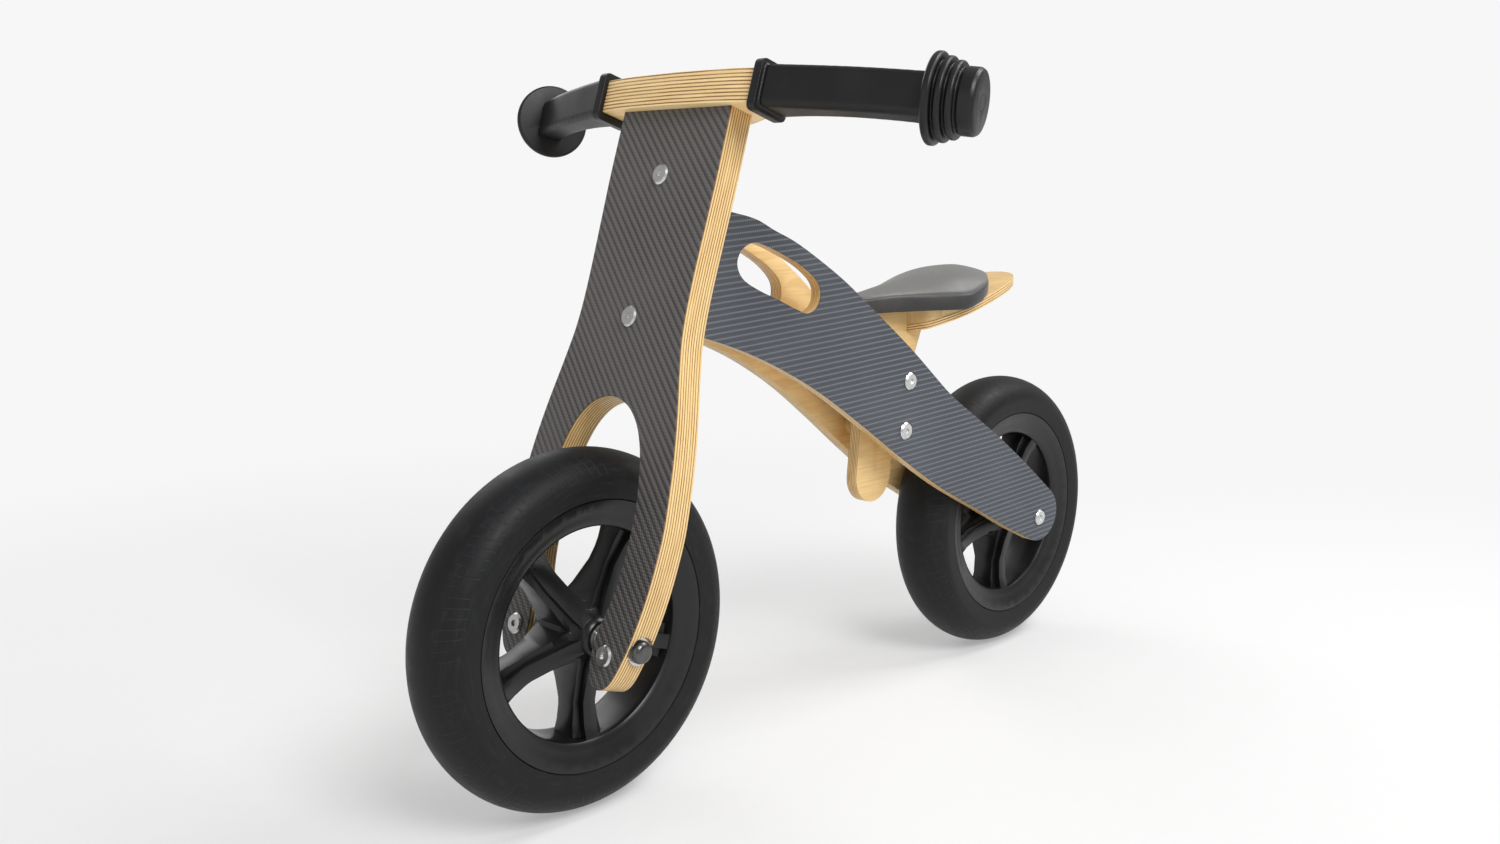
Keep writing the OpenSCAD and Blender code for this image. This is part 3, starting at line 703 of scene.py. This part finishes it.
@dataclass
class Part:
    """A sub-assembly that keeps CAD nodes and adds finished pieces."""

    frame: Frame
    wardrobe: Wardrobe
    body: str = "frame"
    made: List[str] = field(default_factory=list)

    def keep(self, names: Sequence[str], material: bpy.types.Material) -> None:
        """Dresses CAD nodes that keep their own shape.

        Args:
            names: The nodes.
            material: Their finish.
        """
        for name in names:
            self.wardrobe.dress(self.frame["nodes"][name], material)
            self.made.append(name)

    def soften(
        self,
        node: str,
        material: bpy.types.Material,
        slot: str,
        radius: float,
        steps: int = 2,
        angle: float = 38.0,
    ) -> bpy.types.Object:
        """Copies a CAD node, merges its facets and rounds its edges.

        Args:
            node: The CAD node that the copy stands for.
            material: The copy's finish.
            slot: The record's material slot; not used.
            radius: The radius of the rounded edges, or 0 for none.
            steps: How many segments the rounding has.
            angle: Edges sharper than this are rounded, in degrees.

        Returns:
            The finished piece.
        """
        source = self.frame["nodes"][node]
        piece = bpy.data.objects.new(f"{node}_finished", source.data.copy())
        bpy.context.scene.collection.objects.link(piece)
        choose(piece)
        bpy.ops.object.mode_set(mode="EDIT")
        bpy.ops.mesh.select_all(action="SELECT")
        bpy.ops.mesh.remove_doubles(threshold=MERGE)
        if piece.data.has_custom_normals:
            bpy.ops.mesh.customdata_custom_splitnormals_clear()
        bpy.ops.mesh.dissolve_limited(angle_limit=math.radians(0.5))
        bpy.ops.object.mode_set(mode="OBJECT")
        if radius > 0:
            bevel = piece.modifiers.new("Rounding", "BEVEL")
            bevel.width = radius
            bevel.segments = steps
            bevel.limit_method = "ANGLE"
            bevel.angle_limit = math.radians(angle)
            bevel.miter_outer = "MITER_ARC"
            bpy.ops.object.modifier_apply(modifier=bevel.name)
        bpy.ops.object.shade_smooth_by_angle(angle=math.radians(32.0))
        self.wardrobe.dress(piece, material)
        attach(piece, self.body)
        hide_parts(node)
        self.made.append(piece.name)
        return piece

    def report(self) -> None:
        """Logs what this sub-assembly made."""
        LOG.info("%s: %s", type(self).__name__, ", ".join(self.made))


@dataclass
class SidePanels(Part):
    """The two splayed plywood panels, their laminates and the head block."""

    edge: float = 0.0009
    skin_edge: float = 0.00035

    def build(self) -> None:
        """Rounds the panels and dresses what is between them."""
        w = self.wardrobe
        self.soften("left_panel", w.left_ply, "birch_ply", self.edge)
        self.soften("right_panel", w.right_ply, "birch_ply", self.edge)
        self.soften("left_panel_laminate", w.left_rows, "carbon_laminate", self.skin_edge, 1)
        self.soften("right_panel_laminate", w.right_rows, "carbon_laminate", self.skin_edge, 1)
        self.keep(["head_block", "head_dowels", "seat_clamp_spacers"], w.post_ply)
        self.keep(["steering_bushes"], w.nylon)
        self.keep(["rear_axle_spacers"], w.aluminium)
        self.keep(["seat_clamp_bolts", "seat_clamp_nuts", "rear_axle", "rear_axle_nut"], w.zinc)
        self.report()


@dataclass
class Fork(Part):
    """The fork plate with its laminate, steering lugs, bolts and axle."""

    body: str = "fork"
    edge: float = 0.0014

    def build(self) -> None:
        """Rounds the plate and dresses its metal."""
        w = self.wardrobe
        self.soften("fork_plate", w.fork_ply, "birch_ply", self.edge)
        self.soften("fork_laminate", w.twill, "carbon_laminate", 0.00035, 1)
        self.keep(
            ["upper_steering_lug", "lower_steering_lug", "steering_pin", "steering_pin_nut",
             "lug_bolts", "leg_bolts", "front_axle", "front_axle_washers"], w.zinc)
        self.keep(["front_axle_caps"], w.dark_zinc)
        self.keep(["front_axle_spacers"], w.aluminium)
        self.keep(["stop_buffers"], w.grip)
        self.report()


@dataclass
class Handlebar(Part):
    """The curved board with its grips and end bumpers."""

    body: str = "fork"
    bar_edge: float = 0.0022
    bumper_edge: float = 0.0007
    grip_grain: float = 0.0009
    grip_rounding: int = 5
    grip_corner: float = 0.0055
    groove_at: float = 0.0966
    groove_depth: float = 0.0011

    def build(self) -> None:
        """Rounds the board, grips and bumpers."""
        w = self.wardrobe
        self.soften("handlebar", w.bar_ply, "birch_ply", self.bar_edge, 3)
        for side in ("left", "right"):
            self.mould_grip(f"{side}_grip")
            self.soften(f"{side}_bumper", w.grip, "black_rubber", self.bumper_edge, 3, 25.0)
        self.keep(["handlebar_screws", "bumper_screws"], w.zinc)
        self.keep(["bumper_plugs"], w.nylon)
        self.report()

    def mould_grip(self, node: str) -> None:
        """Rounds a grip as one soft moulding, with a groove beside its collar.

        Args:
            node: The CAD grip that the moulding replaces.
        """
        source = self.frame["nodes"][node]
        piece = bpy.data.objects.new(f"{node}_moulding", source.data.copy())
        bpy.context.scene.collection.objects.link(piece)
        choose(piece)
        bpy.ops.object.mode_set(mode="EDIT")
        bpy.ops.mesh.select_all(action="SELECT")
        bpy.ops.mesh.remove_doubles(threshold=MERGE)
        bpy.ops.object.mode_set(mode="OBJECT")
        if piece.data.has_custom_normals:
            bpy.ops.mesh.customdata_custom_splitnormals_clear()
        piece.data.remesh_voxel_size = self.grip_grain
        bpy.ops.object.voxel_remesh()
        self.round_section(piece.data)
        rounding = piece.modifiers.new("Rounding", "SMOOTH")
        rounding.factor = 0.5
        rounding.iterations = self.grip_rounding
        bpy.ops.object.modifier_apply(modifier=rounding.name)
        mesh = piece.data
        points, normals = read_points(mesh), read_points(mesh, "normal")
        away = np.abs(points[:, 1]) - self.groove_at
        points -= normals * (self.groove_depth * np.exp(-(away / 0.0010) ** 2))[:, None]
        mesh.vertices.foreach_set("co", points.ravel())
        mesh.update()
        bpy.ops.object.shade_smooth()
        self.wardrobe.dress(piece, self.wardrobe.grip)
        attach(piece, self.body)
        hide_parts(node)
        self.made.append(piece.name)

    def round_section(self, mesh: bpy.types.Mesh) -> None:
        """Rounds the four long corners of a grip's box section.

        Args:
            mesh: The grip's mesh.
        """
        place = PLACES[Board.FORK]
        turn = np.array(Euler(place.turn).to_matrix())
        local = (read_points(mesh) - np.array(place.origin)) @ turn
        cell = np.floor(np.abs(local[:, 1]) / 0.001).astype(int)
        low = np.full((cell.max() + 1, 3), np.inf)
        high = -low
        np.minimum.at(low, cell, local)
        np.maximum.at(high, cell, local)
        middle = (low + high)[cell] / 2
        half = (high - low)[cell] / 2
        away = local - middle
        over = np.abs(away) - (half - self.grip_corner)
        reach = np.hypot(over[:, 0], over[:, 2])
        corner = (over[:, 0] > 0) & (over[:, 2] > 0) & (reach > self.grip_corner)
        for k in (0, 2):
            round_off = over[:, k] * self.grip_corner / np.maximum(reach, 1e-9)
            size = half[:, k] - self.grip_corner + round_off
            local[:, k] = np.where(corner, middle[:, k] + np.sign(away[:, k]) * size, local[:, k])
        mesh.vertices.foreach_set("co", (local @ turn.T + np.array(place.origin)).ravel())
        mesh.update()


@dataclass
class Wheel(Part):
    """A moulded rim with its foam tyre and bearings."""

    end: str = "front"
    rim_edge: float = 0.0014

    def build(self) -> None:
        """Rounds the rim and dresses the tyre."""
        w = self.wardrobe
        self.body = f"{self.end}_wheel"
        foam = w.front_tyre if self.end == "front" else w.rear_tyre
        self.soften(f"{self.end}_tyre", foam, "tyre_foam", 0.0)
        self.soften(f"{self.end}_rim", w.rim, "black_plastic", self.rim_edge, 2, 30.0)
        self.keep([f"{self.end}_bearings"], w.zinc)
        self.report()


@dataclass
class Saddle(Part):
    """The post, the bent shell and the stuffed pad."""

    body: str = "seat"
    voxel: float = 0.0026
    swell: float = 0.004
    shoulder: float = 0.046
    wall: float = 0.016
    seam_width: float = 0.0016
    seam_depth: float = 0.0012
    frames: int = 16

    def build(self) -> None:
        """Builds the boards and the pad."""
        w = self.wardrobe
        self.soften("seat_post", w.post_ply, "birch_ply", 0.0010)
        self.soften("seat_shell", w.shell_ply, "birch_ply", 0.0012)
        self.soften("seat_wedge", w.wedge_ply, "birch_ply", 0.0)
        self.keep(["seat_base"], w.nylon)
        self.keep(["seat_base_screws", "shell_screws"], w.zinc)
        self.pad()
        self.report()

    @staticmethod
    def profile(points: np.ndarray, cells: int = 150) -> Dict[str, np.ndarray]:
        """Measures the pad's underside, crown and width along its length.

        Args:
            points: The pad's corners, one row each.
            cells: How many places are measured.

        Returns:
            The places x, and low, high and half width at each, all smoothed.
        """
        x = np.linspace(points[:, 0].min(), points[:, 0].max(), cells)
        order = points[np.argsort(points[:, 0])]
        low, high, half = [], [], []
        for at in x:
            near = order[np.abs(order[:, 0] - at) < 0.0022]
            low.append(near[:, 2].min())
            high.append(near[:, 2].max())
            half.append(np.abs(near[:, 1]).max())
        kernel = np.exp(-np.linspace(-2.0, 2.0, 13) ** 2)
        kernel /= kernel.sum()
        smooth = [
            np.convolve(np.pad(np.array(row), 6, mode="edge"), kernel, mode="valid") for row in (low, high)]
        return {"x": x, "low": smooth[0], "high": smooth[1], "half": np.array(half)}

    @staticmethod
    def depth_inside(points: np.ndarray, shape: Dict[str, np.ndarray]) -> np.ndarray:
        """Measures how far each point lies inside the pad's outline, seen from above.

        Args:
            points: The points, one row each.
            shape: What profile returned.

        Returns:
            The distance to the outline for each point.
        """
        right = np.stack([shape["x"], shape["half"]], axis=1)
        outline = np.concatenate([[[shape["x"][0], 0.0]], right, [[shape["x"][-1], 0.0]]])
        spots = np.stack([points[:, 0], np.abs(points[:, 1])], axis=1)
        nearest = np.full(len(spots), np.inf)
        for start, end in zip(outline[:-1], outline[1:]):
            way = end - start
            part = np.clip(((spots - start) @ way) / max(float(way @ way), 1e-12), 0.0, 1.0)
            nearest = np.minimum(nearest, np.linalg.norm(spots - start - part[:, None] * way, axis=1))
        return nearest

    def crease(self, shape: Dict[str, np.ndarray], x: np.ndarray) -> np.ndarray:
        """Works out how high the seam runs, above the pad's upright side.

        Args:
            shape: What profile returned.
            x: The places along the pad.

        Returns:
            The seam's height at each place.
        """
        low = np.interp(x, shape["x"], shape["low"])
        high = np.interp(x, shape["x"], shape["high"])
        return np.minimum(low + self.wall, low + 0.62 * (high - low))

    def pad(self) -> None:
        """Makes the pad: a low dome on an upright side, swollen as cloth."""
        source = self.frame["nodes"]["seat_pad"]
        piece = bpy.data.objects.new("seat_pad_stuffed", source.data.copy())
        bpy.context.scene.collection.objects.link(piece)
        choose(piece)
        bpy.ops.object.mode_set(mode="EDIT")
        bpy.ops.mesh.select_all(action="SELECT")
        bpy.ops.mesh.remove_doubles(threshold=MERGE)
        bpy.ops.object.mode_set(mode="OBJECT")
        if piece.data.has_custom_normals:
            bpy.ops.mesh.customdata_custom_splitnormals_clear()
        piece.data.remesh_voxel_size = self.voxel
        bpy.ops.object.voxel_remesh()
        mesh = piece.data
        points = read_points(mesh)
        shape = self.profile(points)
        seam = self.crease(shape, points[:, 0])
        inside = np.clip(self.depth_inside(points, shape) / self.shoulder, 0.0, 1.0)
        dome = 0.35 * np.sqrt(1.0 - (1.0 - inside) ** 2) + 0.65 * (1.0 - (1.0 - inside) ** 2)
        above = points[:, 2] > seam
        points[above, 2] = seam[above] + (points[above, 2] - seam[above]) * (0.04 + 0.96 * dome[above])
        mesh.vertices.foreach_set("co", points.ravel())
        mesh.update()
        self.inflate(piece, points.copy())
        self.sew(piece, shape)
        self.wardrobe.dress(piece, self.wardrobe.pad)
        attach(piece, self.body)
        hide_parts("seat_pad")
        self.made.append(piece.name)

    def sew(self, piece: bpy.types.Object, shape: Dict[str, np.ndarray]) -> None:
        """Smooths the cover and pulls a narrow seam into it, above its side.

        Args:
            piece: The swollen pad.
            shape: What profile returned.
        """
        choose(piece)
        calm = piece.modifiers.new("Even skin", "SMOOTH")
        calm.factor = 0.5
        calm.iterations = 12
        bpy.ops.object.modifier_apply(modifier=calm.name)
        finer = piece.modifiers.new("Fine skin", "SUBSURF")
        finer.levels = 1
        finer.render_levels = 1
        bpy.ops.object.modifier_apply(modifier=finer.name)
        mesh = piece.data
        points, normals = read_points(mesh), read_points(mesh, "normal")
        away = (points[:, 2] - self.crease(shape, points[:, 0])) / self.seam_width
        near_edge = self.depth_inside(points, shape) < 0.010
        points -= normals * (self.seam_depth * np.exp(-away ** 2) * near_edge)[:, None]
        mesh.vertices.foreach_set("co", points.ravel())
        mesh.update()
        bpy.ops.object.shade_smooth()

    def inflate(self, piece: bpy.types.Object, start: np.ndarray) -> None:
        """Swells the pad as pressurised cloth and limits how far it moves.

        Args:
            piece: The remeshed pad.
            start: Its points before the simulation.
        """
        choose(piece)
        held = piece.vertex_groups.new(name="held")
        low = start[:, 2] < np.percentile(start[:, 2], 3) + 0.001
        held.add([int(i) for i in np.nonzero(low)[0]], 1.0, "REPLACE")
        cloth = piece.modifiers.new("Stuffing", "CLOTH")
        settings = cloth.settings
        settings.vertex_group_mass = "held"
        settings.use_pressure = True
        settings.uniform_pressure_force = 4.0
        settings.effector_weights.gravity = 0.0
        settings.tension_stiffness = 25.0
        settings.compression_stiffness = 25.0
        settings.bending_stiffness = 2.0
        scene = bpy.context.scene
        for step in range(1, self.frames + 1):
            scene.frame_set(step)
        bpy.ops.object.modifier_apply(modifier=cloth.name)
        scene.frame_set(1)
        shift = read_points(piece.data) - start
        length = np.linalg.norm(shift, axis=1, keepdims=True)
        capped = self.swell * np.tanh(length / self.swell)
        shift *= capped / np.maximum(length, 1e-9)
        shift[:, 2] = np.where(shift[:, 2] < 0, shift[:, 2] * 0.1, shift[:, 2] * 0.5)
        piece.data.vertices.foreach_set("co", (start + shift).ravel())
        piece.data.update()


@dataclass
class Studio:
    """The pale floor, the soft lights and the camera."""

    eye: Tuple[float, float, float] = (0.91369, 0.80600, 0.48328)
    azimuth: float = 44.373
    elevation: float = 9.697
    lens: float = 32.04
    floor_tone: Colour = (0.50, 0.50, 0.50)
    floor_glow: float = 0.33
    backdrop: float = 0.93
    sky: float = 0.44
    fade: Tuple[float, float] = (0.55, 1.7)

    def build(self) -> None:
        """Builds the whole studio."""
        self.floor()
        self.lights()
        self.camera()

    def floor(self) -> None:
        """Lays a wide pale floor."""
        deselect_all()
        bpy.ops.mesh.primitive_plane_add(size=60.0, location=(0.0, 0.0, -0.0005))
        floor = bpy.context.object
        floor.name = "studio_floor"
        g = Graph("studio_floor")
        x, y, z = g.coordinates()
        distance = g.sums("SQRT", g.add(g.times(x, x), g.times(y, y)))
        far = g.remap(distance, self.fade[0], self.fade[1])
        paper = g.noise(g.vector(x, y, z), 60.0, 3.0)
        near_tone = g.mix(g.remap(paper, 0.3, 0.7, 0.0, 0.01), self.floor_tone, (0.0, 0.0, 0.0))
        g.put(g.shader.inputs["Emission Color"], (1.0, 1.0, 1.0))
        glow = g.add(self.floor_glow, g.times(far, self.backdrop - self.floor_glow))
        g.put(g.shader.inputs["Emission Strength"], glow)
        g.finish(g.mix(far, near_tone, (0.0, 0.0, 0.0)), 1.0, Specular_IOR_Level=0.0)
        floor.data.materials.append(g.material)

    def area(self, name: str, place: Tuple[float, float, float], size: float, power: float) -> None:
        """Adds a square soft light that looks at the bike.

        Args:
            name: The light's name.
            place: Where it hangs.
            size: Its side.
            power: Its power in watts.
        """
        data = bpy.data.lights.new(name, "AREA")
        data.size = size
        data.energy = power
        light = bpy.data.objects.new(name, data)
        bpy.context.scene.collection.objects.link(light)
        light.location = place
        aim = Vector((0.0, 0.0, 0.3)) - Vector(place)
        light.rotation_euler = aim.to_track_quat("-Z", "Y").to_euler()

    def lights(self) -> None:
        """Adds the soft boxes and a pale sky."""
        self.area("key", (0.7, 2.3, 2.4), 1.4, 70.0)
        self.area("front_fill", (3.0, 0.2, 1.2), 1.6, 6.0)
        self.area("rear_top", (-1.7, 0.9, 2.6), 1.2, 42.0)
        self.area("far_side", (-0.6, -2.6, 2.0), 1.6, 18.0)
        world = bpy.data.worlds.new("pale_sky")
        bpy.context.scene.world = world
        world.use_nodes = True
        nodes, links = world.node_tree.nodes, world.node_tree.links
        sky = nodes["Background"]
        sky.inputs["Color"].default_value = (1.0, 1.0, 1.0, 1.0)
        seen = nodes.new("ShaderNodeLightPath")
        strength = nodes.new("ShaderNodeMapRange")
        strength.inputs["To Min"].default_value = self.sky
        strength.inputs["To Max"].default_value = self.backdrop
        links.new(seen.outputs["Is Camera Ray"], strength.inputs["Value"])
        links.new(strength.outputs[0], sky.inputs["Strength"])

    def camera(self) -> None:
        """Places the camera."""
        data = bpy.data.cameras.new("camera")
        data.lens = self.lens
        data.sensor_width = 36.0
        data.clip_end = 100.0
        camera = bpy.data.objects.new("camera", data)
        bpy.context.scene.collection.objects.link(camera)
        turn = math.radians(self.azimuth)
        tip = math.radians(self.elevation)
        back = Vector((math.cos(turn) * math.cos(tip), math.sin(turn) * math.cos(tip), math.sin(tip)))
        camera.location = self.eye
        camera.rotation_euler = back.to_track_quat("Z", "Y").to_euler()
        bpy.context.scene.camera = camera


def main() -> None:
    """Builds the whole bike in order."""
    logging.basicConfig(level=logging.INFO, format="%(message)s")
    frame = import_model()
    bpy.context.scene.view_settings.view_transform = "Standard"
    wardrobe = Wardrobe()
    SidePanels(frame, wardrobe).build()
    Fork(frame, wardrobe).build()
    Handlebar(frame, wardrobe).build()
    Wheel(frame, wardrobe, end="front").build()
    Wheel(frame, wardrobe, end="rear").build()
    Saddle(frame, wardrobe).build()
    Studio().build()


if __name__ == "__main__":
    main()
